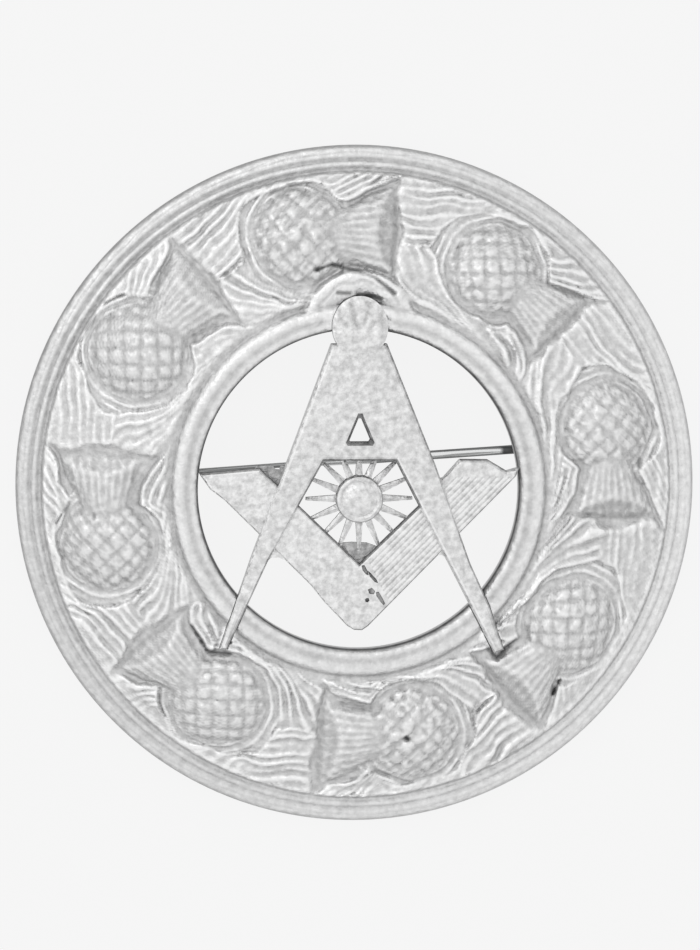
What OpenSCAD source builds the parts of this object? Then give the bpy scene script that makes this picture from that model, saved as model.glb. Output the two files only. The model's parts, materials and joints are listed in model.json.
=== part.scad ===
/* [Ring] */
// Outer radius of the brooch
ring_r = 38; // [37.5:0.1:39]
// Radius of the opening in the middle
hole_r = 18.1; // [17.8:0.1:18.4]
// Height of the relief floor beside the outer rim
floor_low = 3.0; // [2.8:0.1:3.2]
// Height of the relief floor beside the inner collar
floor_high = 6.0; // [5.8:0.1:6.2]
// Thickness of the cast wall under the relief
wall = 1.4; // [1.2:0.1:1.6]
// Height of the rounded collar around the opening
collar_top = 7.2; // [7.0:0.1:7.4]
// Width of the plain flat foot that the brooch lies on
foot_w = 1.3; // [1.1:0.1:1.5]

/* [Thistles] */
// Number of thistles around the ring
thistle_count = 8; // [7:1:9]
// Clockwise angle from the top to the first tuft's end
first_angle = 7; // [0:1:44]
// Radius of the ball that makes a thistle's bulb
bulb_r = 5.3; // [5.2:0.1:5.6]
// Height of the middle of that ball
bulb_z = 3.3; // [3.1:0.1:3.4]
// Radius of the tuft where it leaves the bulb
neck_r = 3.2; // [3.0:0.1:3.4]
// Radius of the tuft at its open end
tuft_r = 4.7; // [4.4:0.1:4.9]
// Height of the tuft's middle line
tuft_z = 3.0; // [2.6:0.1:3.2]
// Height of the leaves over the relief floor
leaf_h = 0.7; // [0.5:0.1:0.9]
// Radius of the stalk between two thistles
stalk_r = 0.75; // [0.6:0.05:0.9]

/* [Emblem] */
// Height of the emblem's flat back
emblem_z = 5.3; // [5.2:0.1:5.4]
// Height of the square's face
square_top = 6.7; // [6.5:0.1:6.9]
// Height of the compasses' face
compass_top = 7.5; // [7.3:0.1:7.7]
// Radius of the round head at the compasses' joint
head_r = 3.3; // [3.1:0.1:3.5]
// Distance from the middle of the ring to the head
head_y = 18.0; // [17.8:0.1:18.2]
// Gap between the emblem and its seat in the ring
seat_gap = 0.2; // [0.15:0.05:0.3]
// Number of rays on the sun
ray_count = 16; // [12:2:20]
// Radius of the sun's disc
sun_r = 2.3; // [2.0:0.1:2.6]

/* [Pin] */
// Rise of the stem from left to right in degrees
stem_tilt = 3.4; // [0:0.1:5]
// Height of the stem's middle line
stem_z = 1.6; // [1.5:0.1:1.7]
// Radius of the stem's shank
stem_r = 0.5; // [0.4:0.05:0.55]
// Radius of the stem where it lies in the catch
tip_r = 0.3; // [0.2:0.05:0.35]
// Distance from the hinge to the stem's point
stem_l = 50.4; // [49:0.2:51]
// Distance from the middle of the ring to the hinge
hinge_x = 23.9; // [23.6:0.1:24.2]
// Radius of the eye at the end of the stem
eye_r = 1.0; // [0.9:0.05:1.0]
// Width of the eye between the hinge's lugs
eye_w = 1.2; // [1.0:0.1:1.4]
// Radius of the hinge rivet
rivet_r = 0.5; // [0.4:0.05:0.55]
// Running clearance around the rivet
run_gap = 0.04; // [0.03:0.01:0.06]
// Thickness of the sheet that the findings are bent from
sheet = 0.6; // [0.5:0.05:0.7]
// Gap between a finding and its pad on the ring
pad_gap = 0.05; // [0.03:0.01:0.08]

/* [Hidden] */
$fn = 96;
far = 60;
eps = 0.01;

// Radii of the ring's plain mouldings
groove_out = 36.3;
bead_r = 35.8;
relief_out = 35.2;
relief_in = 20.9;
collar_out = 20.6;
collar_mid = (hole_r + collar_out) / 2;
collar_w = collar_out - hole_r;
foot_in = ring_r - foot_w;
rim_top = 2.3;
rim_round = 0.5;
bead_w = 0.4;
groove_w = 0.3;
collar_foot = 4.0;

// Places on one thistle, tuft end at x = 0, in the frame turned to its angle
bulb_at = [-9.6, 26.8];
neck_at = [-6.2, 27.6];
tuft_at = [-0.7, 28.6];
stalk_from = [0.2, 28.0];
stalk_to = [6.4, 27.5];
leaf_from = 0.9;

// Edge points of the outer and the inner leaf: start, side of the next bulb, tip
pitch = 360 / thistle_count;
next_bulb = pitch + atan2(bulb_at[0], bulb_at[1]);
outer_leaf = [[leaf_from, 30.2], polar(33.9, next_bulb), polar(35.0, pitch - 1.6)];
inner_leaf = [[leaf_from, 27.0], polar(22.9, next_bulb), polar(21.3, pitch + 5)];

// Outline of the compasses and the square
head_half = 3.1;
head_low = 16.2;
tip_y = -18.5;
tip_out = 16.2;
tip_in = 15.0;
web_low = 3.4;
web_half = 3.96;
eyelet = [[0, 8.5], [1.46, 5.0], [-1.46, 5.0]];
square_out = -15.8;
square_in = -8.4;
square_end = 2.0;
sun_y = -0.9;
ray_l = 5.9;
ray_w = 0.8;
ray_tip = 0.35;
sun_base = 6.2;
peg_r = 0.5;
peg_gap = 0.05;
peg_l = 1.6;
tip_peg = [14.5, -16.0];
seat_drop = 0.1;
seat_z = emblem_z - seat_drop;

// Places of the findings along the stem's line
stem_y0 = 3.07;
lug_t = 0.7;
lug_r = eye_r - 0.1;
lug_gap = 0.1;
eye_gap = 0.12;
base_z = stem_z + eye_r + eye_gap;
base_top = base_z + sheet;
pad_z = base_top + pad_gap;
hinge_w = eye_w + 2 * (lug_gap + lug_t);
hinge_l = 3.6;
hinge_mid = hinge_x - lug_r + hinge_l / 2;
catch_at = -24.6;
catch_l = 3.0;
catch_in = 0.75;
mouth = 0.9;
pad_l = 4.4;
pad_w = 4.4;
pad_t = 1.3;

// Point at a radius and a clockwise angle from the top
function polar(r, a) = [r * sin(a), r * cos(a)];
// Middle of the circle through three points
function dot2(p) = p[0] * p[0] + p[1] * p[1];
function turn_of(a, b, c) = 2 * (a[0] * (b[1] - c[1]) + b[0] * (c[1] - a[1]) + c[0] * (a[1] - b[1]));
function mid_of(a, b, c) = [
    (dot2(a) * (b[1] - c[1]) + dot2(b) * (c[1] - a[1]) + dot2(c) * (a[1] - b[1])) / turn_of(a, b, c),
    (dot2(a) * (c[0] - b[0]) + dot2(b) * (a[0] - c[0]) + dot2(c) * (b[0] - a[0])) / turn_of(a, b, c)
];

// Turn to each thistle's place
module each_thistle() {
    for (i = [0 : thistle_count - 1])
        rotate([0, 0, -first_angle - i * pitch]) children();
}

// Turn and lift to the stem's own line, hinge at x = hinge_x
module on_stem_line() {
    translate([0, stem_y0, 0]) rotate([0, 0, stem_tilt]) children();
}

// Section of the band, raised by a height over the relief floor
module band_section(lift) {
    polygon([
        [relief_in, floor_high - wall / 2], [relief_out, floor_low - wall / 2],
        [relief_out, floor_low + lift], [relief_in, floor_high + lift]
    ]);
}

// Section of the cast ring: foot, rim, bead, sloping band and round collar
module ring_section() {
    difference() {
        union() {
            polygon([
                [foot_in, 0], [ring_r, 0], [ring_r, rim_top - rim_round], [ring_r - rim_round, rim_top],
                [groove_out + 0.25, rim_top], [groove_out, rim_top - 0.35], [relief_out, floor_low],
                [collar_out, floor_high], [hole_r + 0.6, floor_high], [hole_r, floor_high - 0.4],
                [hole_r, collar_foot], [collar_out + 0.3, collar_foot + 0.3],
                [relief_out - 1, floor_low - wall], [foot_in, 0.6]
            ]);
            translate([bead_r, rim_top]) circle(r = bead_w);
            translate([collar_mid, collar_top - collar_w / 2]) circle(r = collar_w / 2 - eps);
        }
        translate([relief_in - groove_w / 2, floor_high + 0.1]) circle(r = groove_w);
    }
}

// One thistle: round bulb, flaring tuft and the stalk behind its end
module thistle() {
    run = tuft_at - neck_at;
    translate([bulb_at[0], bulb_at[1], bulb_z]) sphere(r = bulb_r);
    translate([neck_at[0], neck_at[1], tuft_z])
        rotate([0, 0, atan2(run[1], run[0])]) rotate([0, 90, 0])
            cylinder(r1 = neck_r, r2 = tuft_r, h = norm(run));
    stalk = stalk_to - stalk_from;
    translate([stalk_from[0], stalk_from[1], floor_high - 1.4])
        rotate([0, 0, atan2(stalk[1], stalk[0])]) rotate([0, 90, 0])
            cylinder(r = stalk_r, h = norm(stalk));
}

// Two long leaves that pass either side of the next bulb
module leaf_pair() {
    a = mid_of(outer_leaf[0], outer_leaf[1], outer_leaf[2]);
    b = mid_of(inner_leaf[0], inner_leaf[1], inner_leaf[2]);
    tip = outer_leaf[2];
    difference() {
        translate([leaf_from, tip[1], 0]) cube([tip[0] - leaf_from, 12, 12]);
        translate([a[0], a[1], -1]) cylinder(r = norm(outer_leaf[0] - a), h = 14);
    }
    intersection() {
        translate([leaf_from, inner_leaf[2][1], 0]) cube([inner_leaf[2][0], 14, 12]);
        translate([b[0], b[1], -1]) cylinder(r = norm(inner_leaf[0] - b), h = 14);
    }
}

// Compasses' outline, grown sideways by a gap
module compass_outline(gap) {
    difference() {
        polygon([
            [-head_half - gap, head_low], [head_half + gap, head_low],
            [tip_out + gap, tip_y - gap], [tip_in - gap, tip_y - gap],
            [web_half - gap, web_low], [-web_half + gap, web_low],
            [-tip_in + gap, tip_y - gap], [-tip_out - gap, tip_y - gap]
        ]);
        if (gap == 0) polygon(eyelet);
    }
}

// Square's outline with both arms cut level
module square_outline() {
    out_x = square_end - square_out;
    in_x = square_end - square_in;
    polygon([
        [0, square_out], [out_x, square_end], [in_x, square_end],
        [0, square_in], [-in_x, square_end], [-out_x, square_end]
    ]);
}

// The three pegs that hold the emblem on the ring
module at_pegs() {
    translate([0, head_y + 1]) children();
    for (side = [-1, 1])
        translate([side * tip_peg[0], tip_peg[1]]) children();
}

// Cut for the emblem: seats for the head and both legs, and holes for the pegs
module emblem_seat() {
    translate([0, 0, seat_z]) linear_extrude(height = 8) compass_outline(seat_gap);
    translate([0, head_y, seat_z]) cylinder(r = head_r + seat_gap, h = 8);
    at_pegs() cylinder(r = peg_r + peg_gap, h = 12);
}

// A block over each finding's base, from one height to another
module at_findings(low, high) {
    on_stem_line() for (x = [hinge_mid, catch_at])
        translate([x - pad_l / 2, -pad_w / 2, low]) cube([pad_l, pad_w, high - low]);
}

module thistle_ring() {
    color("gainsboro") difference() {
        union() {
            rotate_extrude() ring_section();
            intersection() {
                rotate_extrude() band_section(leaf_h);
                each_thistle() leaf_pair();
            }
            intersection() {
                rotate_extrude() band_section(far);
                each_thistle() thistle();
            }
            at_findings(pad_z, pad_z + pad_t);
        }
        emblem_seat();
        at_findings(0, pad_z);
    }
}

module emblem() {
    color("silver") union() {
        translate([0, 0, emblem_z]) linear_extrude(height = compass_top - emblem_z) compass_outline(0);
        translate([0, 0, emblem_z]) linear_extrude(height = square_top - emblem_z) square_outline();
        translate([0, head_y, emblem_z]) cylinder(r = head_r, h = compass_top + 0.3 - emblem_z);
        sun();
        at_pegs() translate([0, 0, emblem_z - peg_l]) cylinder(r = peg_r, h = peg_l + eps);
    }
}

// Sun in the window between the legs: round disc and tapered rays
module sun() {
    translate([0, sun_y, emblem_z]) {
        cylinder(r = sun_r, h = compass_top - emblem_z);
        linear_extrude(height = sun_base - emblem_z)
            for (i = [0 : ray_count - 1]) rotate([0, 0, i * 360 / ray_count])
                polygon([[1, -ray_w / 2], [ray_l, -ray_tip / 2], [ray_l, ray_tip / 2], [1, ray_w / 2]]);
    }
}

// Bent bracket: a base on the pad and two lugs for the rivet
module pin_hinge() {
    color("darkgray") on_stem_line() translate([hinge_x, 0, 0]) difference() {
        union() {
            translate([-lug_r, -hinge_w / 2, base_z]) cube([hinge_l, hinge_w, sheet]);
            for (side = [-1, 1]) translate([0, side * (hinge_w - lug_t) / 2, 0]) {
                translate([-lug_r, -lug_t / 2, stem_z]) cube([2 * lug_r, lug_t, base_z - stem_z + eps]);
                translate([0, lug_t / 2, stem_z]) rotate([90, 0, 0]) cylinder(r = lug_r, h = lug_t);
            }
        }
        translate([0, hinge_w, stem_z]) rotate([90, 0, 0]) cylinder(r = rivet_r + run_gap, h = 2 * hinge_w);
    }
}

// Rivet through both lugs and the eye
module hinge_rivet() {
    color("silver") on_stem_line() translate([hinge_x, 0, stem_z]) rotate([90, 0, 0]) {
        translate([0, 0, -hinge_w / 2 - 0.1]) cylinder(r = rivet_r, h = hinge_w + 0.2);
        for (side = [0, 1]) mirror([0, 0, side]) translate([0, 0, hinge_w / 2 + 0.05])
            cylinder(r = rivet_r + 0.3, h = 0.35);
    }
}

// Stem: flat eye, straight shank, long taper and a sharp point
module pin_stem() {
    taper_l = stem_l * 0.5;
    point_l = 2.5;
    shank_l = stem_l - taper_l - point_l;
    color("lightgray") on_stem_line() translate([hinge_x, 0, stem_z]) {
        difference() {
            union() {
                translate([0, eye_w / 2, 0]) rotate([90, 0, 0]) cylinder(r = eye_r - 0.02, h = eye_w);
                rotate([0, -90, 0]) cylinder(r = stem_r, h = shank_l);
                translate([-shank_l, 0, 0]) rotate([0, -90, 0])
                    cylinder(r1 = stem_r, r2 = tip_r, h = taper_l);
                translate([-shank_l - taper_l, 0, 0]) rotate([0, -90, 0])
                    cylinder(r1 = tip_r, r2 = 0.06, h = point_l);
            }
            translate([0, eye_w, 0]) rotate([90, 0, 0]) cylinder(r = rivet_r + run_gap, h = 2 * eye_w);
        }
    }
}

// Catch: a short open tube on a base, with its mouth down
module pin_catch() {
    out = catch_in + sheet;
    color("darkgray") on_stem_line() translate([catch_at - catch_l / 2, 0, 0]) difference() {
        union() {
            translate([0, -out, base_z]) cube([catch_l, 2 * out, sheet]);
            translate([0, 0, stem_z]) rotate([0, 90, 0]) cylinder(r = out, h = catch_l);
        }
        translate([-1, 0, stem_z]) rotate([0, 90, 0]) cylinder(r = catch_in, h = catch_l + 2);
        translate([-1, -mouth / 2, stem_z - 2 * out]) cube([catch_l + 2, mouth, 2 * out]);
        translate([-1, -far / 2, base_top]) cube([catch_l + 2, far, 2]);
    }
}

thistle_ring();
emblem();
pin_hinge();
hinge_rivet();
pin_stem();
pin_catch();
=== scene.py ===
"""Round plaid brooch of silver-plated casting: a ring of thistles, compasses on a square, a hinged pin."""
import json
import math

import bmesh
import bpy
import numpy as np
from mathutils import Matrix, Vector


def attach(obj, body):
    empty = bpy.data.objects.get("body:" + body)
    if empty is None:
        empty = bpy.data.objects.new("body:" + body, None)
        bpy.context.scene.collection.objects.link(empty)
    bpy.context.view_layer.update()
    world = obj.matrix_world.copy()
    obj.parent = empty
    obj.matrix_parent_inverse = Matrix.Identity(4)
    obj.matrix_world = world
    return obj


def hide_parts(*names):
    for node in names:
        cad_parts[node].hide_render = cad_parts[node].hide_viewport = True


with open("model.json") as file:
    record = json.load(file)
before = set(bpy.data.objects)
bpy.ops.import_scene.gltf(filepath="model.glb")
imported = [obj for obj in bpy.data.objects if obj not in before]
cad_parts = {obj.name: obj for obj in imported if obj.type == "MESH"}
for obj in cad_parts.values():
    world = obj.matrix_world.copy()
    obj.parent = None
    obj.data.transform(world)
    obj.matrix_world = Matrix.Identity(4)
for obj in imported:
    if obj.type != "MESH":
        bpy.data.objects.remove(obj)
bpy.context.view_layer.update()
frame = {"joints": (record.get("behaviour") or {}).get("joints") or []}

# Lengths below are in millimetres and angles in degrees, as on a maker's drawing
MM = 0.001

# Ring: equal units, each a thistle with two leaves behind it
UNITS = 8
PITCH = 360 / UNITS
FIRST_TUFT = 7.0
# Relief between collar and rim, and the floor that its leaves lie on: a slope with a slight crown
RELIEF_IN = 20.9
RELIEF_OUT = 35.2
FLOOR_IN = 6.0
FLOOR_OUT = 3.0
FLOOR_CROWN = 0.35
# How deep the leaves and the thistles are rooted in the floor
LEAF_ROOT = 0.1
THISTLE_ROOT = 0.15
# Radius at which degrees round the ring are read as lengths
MIDDLE_R = 28.6
# Mesh of the relief: rows, columns to a unit, how many of them one coarse column spans, its edges' heights
FINE_ROWS = 87
FINE_COLUMNS = 112
COARSE_STEP = 4
EDGE_IN = 6.08
EDGE_OUT = 2.7

# Rim, foot and back in section, from the relief's outer edge round to the inner wall: radius, height
RIM_SECTION = (
    (35.27, 2.7), (35.38, 2.7), (35.52, 2.76), (35.68, 2.83), (35.85, 2.84), (36.02, 2.78), (36.15, 2.66),
    (36.28, 2.55), (36.4, 2.54), (36.55, 2.61), (36.75, 2.66), (36.92, 2.63), (37.06, 2.55), (37.2, 2.53),
    (37.35, 2.5), (37.52, 2.4), (37.7, 2.2), (37.86, 1.88), (37.96, 1.5), (38.0, 1.1), (38.0, 0.6),
    (37.97, 0.22), (37.88, 0.05), (37.75, 0.0), (37.2, 0.0), (36.8, 0.0), (36.7, 0.12), (36.66, 0.6),
    (35.6, 1.02), (34.2, 1.6), (30.9, 2.28), (27.5, 2.96), (24.2, 3.63), (20.9, 4.3), (19.6, 4.1),
    (18.5, 3.98),
)
# Inner wall and rounded collar, up and over to the relief's inner edge: radius, height
COLLAR_SECTION = (
    (17.86, 4.05), (17.76, 4.2), (17.76, 4.9), (17.76, 5.6), (17.78, 6.05), (17.88, 6.35), (18.06, 6.55),
    (18.28, 6.66), (18.52, 6.7), (18.76, 6.69), (18.94, 6.69), (19.1, 6.73), (19.3, 6.79), (19.55, 6.82),
    (19.8, 6.8), (20.02, 6.74), (20.2, 6.65), (20.36, 6.5), (20.5, 6.33), (20.62, 6.18), (20.74, 6.08),
    (20.83, 6.06),
)

# One unit of the relief. Its tuft ends at x = 0, x runs clockwise and y outwards from the ring's middle.
# Edges and veins of the leaves: degrees after the tuft's end, radius
OUTER_EDGE = (
    (0, 27.7), (9, 27.7), (11.2, 28.5), (12, 30.0), (13.2, 31.3), (14.8, 32.5), (17, 33.6), (21, 34.0),
    (25, 34.15), (30, 34.0), (33, 33.3), (35, 32.2), (36, 31.6), (37.5, 32.0), (40, 32.9), (43, 33.7),
    (46.5, 35.1),
)
INNER_EDGE = (
    (0, 28.0), (6, 28.0), (11.3, 27.8), (12.3, 26.6), (13.3, 25.6), (15, 24.4), (18, 23.3), (22, 22.6),
    (26, 22.4), (30, 22.7), (33, 23.6), (34.8, 24.3), (36.5, 24.1), (40, 23.7), (44, 23.1), (47, 22.4),
    (50, 21.6),
)
OUTER_VEIN = ((0, 28.2), (5, 28.35), (9, 28.8), (13, 29.7), (17, 31.2), (21, 32.9), (25, 34.3), (30, 35.0))
INNER_VEIN = (
    (10.6, 27.5), (12.1, 26.5), (13.2, 25.5), (15, 24.3), (18, 23.2), (22, 22.3), (28, 21.5), (36, 20.8),
)
# Leaf's height over the floor, height and half width of a vein, softness of a leaf's edge
LEAF_H = 0.3
VEIN_H = 0.42
VEIN_W = 0.36
EDGE_SOFT = 0.25
# How boldly each unit's outer and inner leaf is cut
OUTER_BOLD = (0.95, 0.8, 0.4, 1.15, 0.95, 0.9, 0.55, 1.05)
INNER_BOLD = (1.0, 1.0, 1.1, 1.0, 1.0, 1.0, 0.55, 0.9)
# Streaks that run with the veins: height, width, length
STREAK_H = 0.2
STREAK_W = 0.6
STREAK_L = 4.2
# Unevenness of the hand-cut pattern all over: height, size of a lump
LUMPS = ((0.05, 0.85), (0.05, 0.5))
# Slow wander of the veins: size of a wave, how far it shifts them round the ring and outwards
WANDER = ((3.2, 1.3, 0.45), (1.3, 0.4, 0.14))

# Lines that wrap round each bulb: height of the ground and of the lines, their pitch, where they fade out
WRAP = (0.14, 0.32)
WRAP_PITCH = 0.85
WRAP_REACH = (1.3, 2.1)

# Bulb: its middle, radius and height, and its scales' pitch, turn, shift, depth and tilt
BULB_AT = (-9.6, 26.9)
BULB_R = 5.5
BULB_H = 2.35
SCALE_PITCH = 1.85
SCALE_TURN = 52.0
SCALE_AT = (-0.33, -0.5)
SCALE_H = 0.36
SCALE_TILT = 0.22

# Tuft: x, lower edge, upper edge
TUFT = ((-6.5, 25.1, 30.3), (-5.0, 24.65, 30.85), (-2.7, 24.4, 32.3), (-0.5, 23.95, 33.4), (0.8, 23.4, 33.8))
# Open end of the tuft: y, x of its lip, x of its foot
TUFT_END = (
    (23.2, 0.6, 0.75), (24.4, 0.2, 0.9), (25.2, -0.4, 0.95), (26.5, -1.0, 0.98), (28.0, -1.45, 0.95),
    (29.5, -1.5, 0.9), (31.5, -1.2, 0.65), (33.4, -0.3, 0.25), (34.2, 0.1, 0.15),
)
# How much painted shade each unit's open end gets
END_SHADE = (0.11, 0.07, 0.13, 0.13, 0.07, 0.08, 0.02, 0.02)
TUFT_FROM = -6.5
TUFT_H = 1.35
# Flutes of the tuft: where they spread from, degrees from one to the next, height
FLUTES_AT = (-14.0, 26.85)
FLUTE_PITCH = 4.2
FLUTE_H = 0.055
# Shallow valleys beside the tuft, and how deep they and the one at its foot are
NOTCH_DEEP = (0.04, 0.06, 0.04)
NOTCH_OUT = ((-7.2, 31.9), (-5.0, 30.55), (-2.7, 32.5), (-0.6, 33.6))
NOTCH_IN = ((-7.2, 22.3), (-4.8, 24.35), (-1.0, 24.0), (0.5, 23.1))
# Deep cuts and pits, painted dark as shade, that only some units have: unit, width, strength, points
MARKS = (
    (0, 0.2, 0.9, ((-7.6, 23.5), (-6.0, 24.3), (-3.5, 24.0), (-1.2, 23.5), (1.2, 22.0))),
    (0, 0.2, 0.7, ((-5.0, 21.3), (-3.7, 21.4))),
    (0, 0.2, 0.7, ((-1.8, 21.4), (-0.3, 21.1))),
    (2, 0.22, 0.7, ((-6.9, 30.9), (-6.1, 30.9))),
    (3, 0.18, 1.1, ((-4.5, 31.1), (-2.9, 31.9))),
    (3, 0.22, 0.9, ((-3.5, 24.0), (-0.6, 24.3), (-0.4, 23.0))),
    (4, 0.26, 1.1, ((-8.75, 26.9), (-8.55, 26.8))),
    (4, 0.2, 0.35, ((-4.4, 24.2), (-1.0, 23.9))),
    (4, 0.22, 0.4, ((-7.4, 31.7), (-5.8, 31.4), (-3.4, 32.7))),
    (5, 0.2, 0.9, ((-5.5, 22.4), (-3.9, 24.2), (-0.4, 23.8))),
    (5, 0.2, 0.5, ((-4.4, 24.0), (-3.0, 21.8))),
    (6, 0.22, 0.5, ((-6.2, 31.8), (-5.2, 31.5))),
    (6, 0.22, 0.5, ((-6.4, 28.6), (-6.1, 28.6))),
    (6, 0.22, 0.2, ((-4.5, 24.2), (-1.2, 23.9))),
    (7, 0.22, 0.3, ((-4.6, 23.4), (-3.7, 24.5), (-1.0, 24.0))),
)
# How deep the cuts are sunk, and how dark they are painted as shade
MARK_DEEP = 0.35
MARK_SHADE = 0.5

# How the modeller's eight thistles differ: shift of the bulb clockwise and outwards, its size,
# shift of the tuft's end clockwise, its size, roughness of the bulb's scales
UNEVEN = (
    (-0.3, 0.2, 1.03, 0.0, 1.0, 0.13), (-0.3, -0.1, 0.94, -0.6, 0.86, 0.13),
    (-0.6, -0.2, 0.96, -0.9, 0.95, 0.11), (0.5, -0.3, 0.96, 0.3, 1.02, 0.13),
    (0.1, -0.6, 1.03, 0.2, 1.0, 0.2), (0.7, -0.3, 0.98, 0.8, 0.92, 0.1),
    (0.2, -0.2, 0.98, 0.1, 0.93, 0.08), (-0.2, 0.1, 1.05, 0.5, 0.96, 0.07),
)
ROUGH_SIZE = 0.55
# Where the bulb lies, in degrees after its tuft's end
BULB_TURN = -19.6
# How dull the ring's plain faces and its thistles are, from 0, bright, to 1, black, and the way in x and y
# in which the painted shade of the rim and of the opening is strongest
RING_DULL = 0.27
THISTLE_DULL = 0.07
SHADE_TO = (-0.54, 0.842)
# Crescent that the collar forms around the head: distance from the head's middle, half width, height of
# its foot, how far its crest rises over that
CRESCENT = (4.9, 1.6, 6.1, 0.5)

# Emblem: one flat-backed casting of compasses over a square, with a sun between the legs
EMBLEM_BACK = 5.3
# How much higher each further plate of it starts, so that no two undersides share a plane
BACK_STEP = 0.02
SQUARE_TOP = 6.7
COMPASS_TOP = 7.5
HEAD_TOP = 8.0
# Head over the joint of the compasses: middle, radius, how its width and height differ from a circle's
HEAD_AT = (0.03, 18.05)
HEAD_R = 3.2
HEAD_STRETCH = (0.95, 1.06)
# Head's block and both legs: x, y, and the way that is outwards in x and in y
COMPASSES = (
    (-3.1, 16.2, -1, 0), (3.0, 16.2, 1, 0), (8.3, 3.0, 1, 0), (12.2, -8.0, 1, 0), (14.35, -12.75, 1, 0),
    (16.05, -17.7, 1, -1), (14.95, -18.1, -1, -1), (3.96, 3.4, -1, 0), (-3.96, 3.4, 1, 0),
    (-10.05, -7.5, 1, 0), (-12.5, -12.8, 1, 0), (-14.65, -17.4, 1, -1), (-15.5, -17.4, -1, -1),
    (-13.85, -12.8, -1, 0), (-11.85, -7.0, -1, 0),
)
LEG_BEVEL = 0.42
# Three-cornered hole below the head, and its chamfer: how much wider, how deep
EYELET = ((-0.15, 8.05), (0.2, 8.05), (1.2, 5.65), (1.05, 5.4), (-1.0, 5.4), (-1.15, 5.65))
EYELET_FLARE = 1.36
EYELET_CHAMFER = 0.35
# Outline of the square's two arms
SQUARE = (
    (-1.35, -15.0), (-0.6, -15.45), (0.3, -15.5), (0.95, -15.05), (17.3, 1.5), (17.75, 2.5), (16.3, 2.1),
    (14.2, 3.35), (11.1, 3.4), (10.2, 2.4), (9.3, 1.4), (8.2, 1.0), (7.6, -0.8), (0, -8.1), (-10.95, 2.5),
    (-17.6, 2.0), (-16.45, 0.3), (-14.9, -0.9), (-5.4, -10.4), (-3.9, -12.3),
)
ARM_BEVEL = 0.34
# Just inside both edges of the arms: how far below the ring's middle their lines cross y
ARM_EDGES = (8.5, 15.74)
# Lines scored along the right arm, placed in the same way, with their width and depth
SCORES = (9.3, 10.05, 10.8, 11.55, 12.3, 13.05, 13.8, 14.55, 15.2)
SCORE_W = 0.36
SCORE_DEEP = 0.04
# Low webs of metal in two corners, painted dark as shade: one under the sun, one between the left arm and leg
WEBS = (
    ((-2.6, -5.9), (-0.8, -5.75), (0.9, -5.85), (2.1, -6.3), (0.9, -7.6), (0, -8.4), (-1.2, -7.3)),
    ((-11.6, 2.3), (-11.2, 2.75), (-9.5, 2.8), (-9.2, 2.35), (-8.8, 2.35), (-8.6, 2.8), (-7.8, 2.7),
     (-8.6, 0.3), (-10.0, 0.6)),
)
WEB_TOP = 5.8
# Casting flaws near the square's corner, each a small pit
FLAWS = (
    ((0.3, -8.35), (0.55, -8.3), (0.85, -8.85), (0.95, -9.25), (0.7, -9.15), (0.4, -8.8)),
    ((1.0, -8.95), (1.25, -9.15), (1.8, -9.75), (1.95, -10.1), (1.65, -10.0), (1.2, -9.5)),
    ((0.65, -12.05), (0.8, -11.9), (1.0, -11.95), (1.05, -12.15), (0.9, -12.3), (0.7, -12.25)),
    ((1.9, -11.35), (2.15, -11.3), (2.5, -11.9), (2.75, -12.4), (2.6, -12.55), (2.3, -12.2), (1.95, -11.7)),
    ((1.0, -10.95), (1.35, -10.8), (1.65, -11.1), (1.55, -11.4), (1.15, -11.35)),
)
FLAW_DEEP = 0.16
# Metal that fills the sharp corners where a leg crosses an arm
FILLETS = (
    ((8.2, -7.0), (9.1, -6.0), (10.2, -7.0), (9.7, -7.7), (9.2, -7.2), (8.7, -7.15)),
    ((-9.5, -5.8), (-10.5, -7.0), (-10.25, -7.8), (-9.7, -7.3), (-8.9, -7.3), (-8.3, -7.6), (-8.0, -7.2)),
)
# Circle round the window between the legs
WINDOW_AT = (0.0, -1.5)
WINDOW_R = 7.1
# Sun in the window: its middle, the disc's radius and the number of rays
SUN_AT = (0.0, -0.9)
SUN_R = 2.6
RAYS = 16
# Both ends of a ray: distance from the sun's middle, half width, height of the sides, height of the ridge
RAY_ENDS = ((2.3, 0.42, 5.92, 6.13), (5.9, 0.17, 5.83, 5.9))
# Disc in section: share of its radius, share of its height
DISC_SECTION = (
    (0, 0), (1, 0), (1, 0.62), (0.95, 0.74), (0.84, 0.8), (0.74, 0.74), (0.52, 0.9), (0.26, 0.98), (0, 1.0),
)
# How far the disc is turned, so that none of its upright edges meets a ray's
DISC_TURN = 2.5
# Pegs on the emblem's back, and the seat in the collar: its floor and the gaps round pegs, legs and head
PEGS = ((0, 19.0), (-14.5, -16.0), (14.5, -16.0))
PEG_R = 0.5
PEG_LOW = 3.7
PEG_GAP = 0.1
SEAT_GAP = 0.08
HEAD_GAP = 0.05
SEAT_Z = 5.15
# A height that nothing reaches
ABOVE = 9.5

# Findings on the back, measured from the hinge along the stem's own line. Both are bent from one sheet,
# with slightly rounded edges, and lie under square pads of the ring.
SHEET = 0.6
FOLD_SOFT = 0.06
BASE_Z = 2.72
PAD_AT = (0.9, -48.5)
PAD = 4.4
PAD_Z = 3.37
PAD_TOP = 4.1
# Hinge: both ends of its base, width, thickness and radius of a lug, radius of the rivet's hole
HINGE_BASE = (-0.9, 2.7)
HINGE_W = 2.8
LUG_T = 0.7
LUG_R = 0.9
RIVET_HOLE = 0.54
# Catch: length, inner radius and width of the mouth
CATCH_L = 3.0
CATCH_IN = 0.75
MOUTH = 0.9
# Needle of the stem: distance from the hinge, radius
NEEDLE = (
    (0.75, 0.5), (4.5, 0.5), (5.0, 0.5), (7.4, 0.5), (7.9, 0.5), (21.8, 0.5), (22.7, 0.5), (27.0, 0.4),
    (32.0, 0.29), (41.0, 0.26), (47.9, 0.25), (49.2, 0.18), (50.1, 0.09), (50.4, 0.03),
)
# How far the needle is turned about an upright line through the hinge
NEEDLE_TURN = 0.22
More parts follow.
